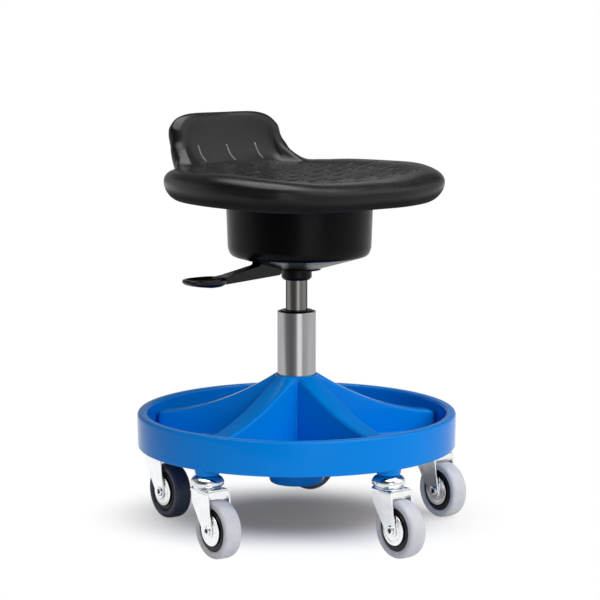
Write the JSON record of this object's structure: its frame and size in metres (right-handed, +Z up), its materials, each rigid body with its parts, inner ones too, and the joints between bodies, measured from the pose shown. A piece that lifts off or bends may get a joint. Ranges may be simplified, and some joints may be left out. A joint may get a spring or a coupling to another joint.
{
  "type": "work chair",
  "caption": "Low mobile work stool: moulded seat with a low back on a lever-released gas spring, over a round divided tool-tray base on swivel castors.",
  "frame": {"origin": "on the floor, under the axis of the gas spring", "axes": "+Z up, the sitter faces -Y, the height lever points along -X"},
  "size_m": [0.4138, 0.4578, 0.5334],
  "materials": {
    "blue_plastic": "satin moulded, fine grain",
    "black_plastic": "satin moulded",
    "black_foam": "grained skin of moulded polyurethane foam",
    "tube_steel": "ground and polished",
    "zinc": "bright zinc plating on steel",
    "brass": "plain",
    "plywood": "sanded",
    "wheel_core": "moulded",
    "grey_rubber": "smooth, non-marking",
    "dark_rubber": "smooth"
  },
  "bodies": {
    "base": {"tray": "blue_plastic", "column_tube": "tube_steel", "guide_bush": "black_plastic", "thrust_bearing": "tube_steel", "castor_1_stem": "zinc", "castor_2_stem": "zinc", "castor_3_stem": "zinc", "castor_4_stem": "zinc", "castor_5_stem": "zinc"},
    "rod": {"piston_rod": "tube_steel", "retaining_clip": "tube_steel"},
    "seat": {"pressure_tube": "tube_steel", "socket_tube": "tube_steel", "mechanism_plate": "tube_steel", "mechanism_cover": "black_plastic", "cover_washer": "black_plastic", "seat_board": "plywood", "seat_pad": "black_foam", "plate_screw_1": "zinc", "plate_screw_2": "zinc", "plate_screw_3": "zinc", "plate_screw_4": "zinc", "lever_pin": "zinc"},
    "lever": {"lever": "black_plastic"},
    "valve": {"valve_pin": "brass"},
    "castor_1": {"castor_1_fork": "zinc", "castor_1_axle": "zinc", "castor_1_guard_left": "zinc", "castor_1_guard_right": "zinc"},
    "wheel_1": {"castor_1_tyre": "grey_rubber", "castor_1_rim": "wheel_core"},
    "castor_2": {"castor_2_fork": "zinc", "castor_2_axle": "zinc", "castor_2_guard_left": "zinc", "castor_2_guard_right": "zinc"},
    "wheel_2": {"castor_2_tyre": "grey_rubber", "castor_2_rim": "wheel_core"},
    "castor_3": {"castor_3_fork": "zinc", "castor_3_axle": "zinc", "castor_3_guard_left": "zinc", "castor_3_guard_right": "zinc"},
    "wheel_3": {"castor_3_tyre": "dark_rubber", "castor_3_rim": "wheel_core"},
    "castor_4": {"castor_4_fork": "zinc", "castor_4_axle": "zinc", "castor_4_guard_left": "zinc", "castor_4_guard_right": "zinc"},
    "wheel_4": {"castor_4_tyre": "dark_rubber", "castor_4_rim": "wheel_core"},
    "castor_5": {"castor_5_fork": "zinc", "castor_5_axle": "zinc", "castor_5_guard_left": "zinc", "castor_5_guard_right": "zinc"},
    "wheel_5": {"castor_5_tyre": "grey_rubber", "castor_5_rim": "wheel_core"}
  },
  "joints": [
    {"name": "seat_swivel", "type": "hinge", "parent": "base", "child": "rod", "pos_m": [0, 0, 0.0711], "axis": [0, 0, 1], "continuous": true},
    {"name": "seat_height", "type": "slide", "parent": "rod", "child": "seat", "axis": [0, 0, 1], "range_m": [-0.03, 0.09]},
    {"name": "lever_lift", "type": "hinge", "parent": "seat", "child": "lever", "pos_m": [-0.04, 0, 0.373], "axis": [0, 1, 0], "range_deg": [0, 6], "stiffness_Nm_per_rad": 1.5, "springref_deg": -5.73},
    {"name": "valve_press", "type": "slide", "parent": "seat", "child": "valve", "axis": [0, 0, -1], "range_m": [0, 0.0046]},
    {"name": "castor_1_swivel", "type": "hinge", "parent": "base", "child": "castor_1", "pos_m": [-0.01097, -0.19018, 0.0859], "axis": [0, 0, 1], "continuous": true},
    {"name": "castor_1_roll", "type": "hinge", "parent": "castor_1", "child": "wheel_1", "pos_m": [-0.01222, -0.21415, 0.0365], "axis": [0.9986, -0.0523, 0], "continuous": true},
    {"name": "castor_2_swivel", "type": "hinge", "parent": "base", "child": "castor_2", "pos_m": [0.17749, -0.0692, 0.0859], "axis": [0, 0, 1], "continuous": true},
    {"name": "castor_2_roll", "type": "hinge", "parent": "castor_2", "child": "wheel_2", "pos_m": [0.17623, -0.09317, 0.0365], "axis": [0.9986, -0.0523, 0], "continuous": true},
    {"name": "castor_3_swivel", "type": "hinge", "parent": "base", "child": "castor_3", "pos_m": [0.12066, 0.14742, 0.0859], "axis": [0, 0, 1], "continuous": true},
    {"name": "castor_3_roll", "type": "hinge", "parent": "castor_3", "child": "wheel_3", "pos_m": [0.14429, 0.14325, 0.0365], "axis": [0.1736, 0.9848, 0], "continuous": true},
    {"name": "castor_4_swivel", "type": "hinge", "parent": "base", "child": "castor_4", "pos_m": [-0.10292, 0.16031, 0.0859], "axis": [0, 0, 1], "continuous": true},
    {"name": "castor_4_roll", "type": "hinge", "parent": "castor_4", "child": "wheel_4", "pos_m": [-0.10501, 0.1364, 0.0365], "axis": [0.9962, -0.0872, 0], "continuous": true},
    {"name": "castor_5_swivel", "type": "hinge", "parent": "base", "child": "castor_5", "pos_m": [-0.18427, -0.04834, 0.0859], "axis": [0, 0, 1], "continuous": true},
    {"name": "castor_5_roll", "type": "hinge", "parent": "castor_5", "child": "wheel_5", "pos_m": [-0.18594, -0.07228, 0.0365], "axis": [0.9976, -0.0698, 0], "continuous": true}
  ],
  "couplings": [
    {"joint": "valve_press", "follows": "lever_lift", "m_per_rad": 0.04}
  ]
}
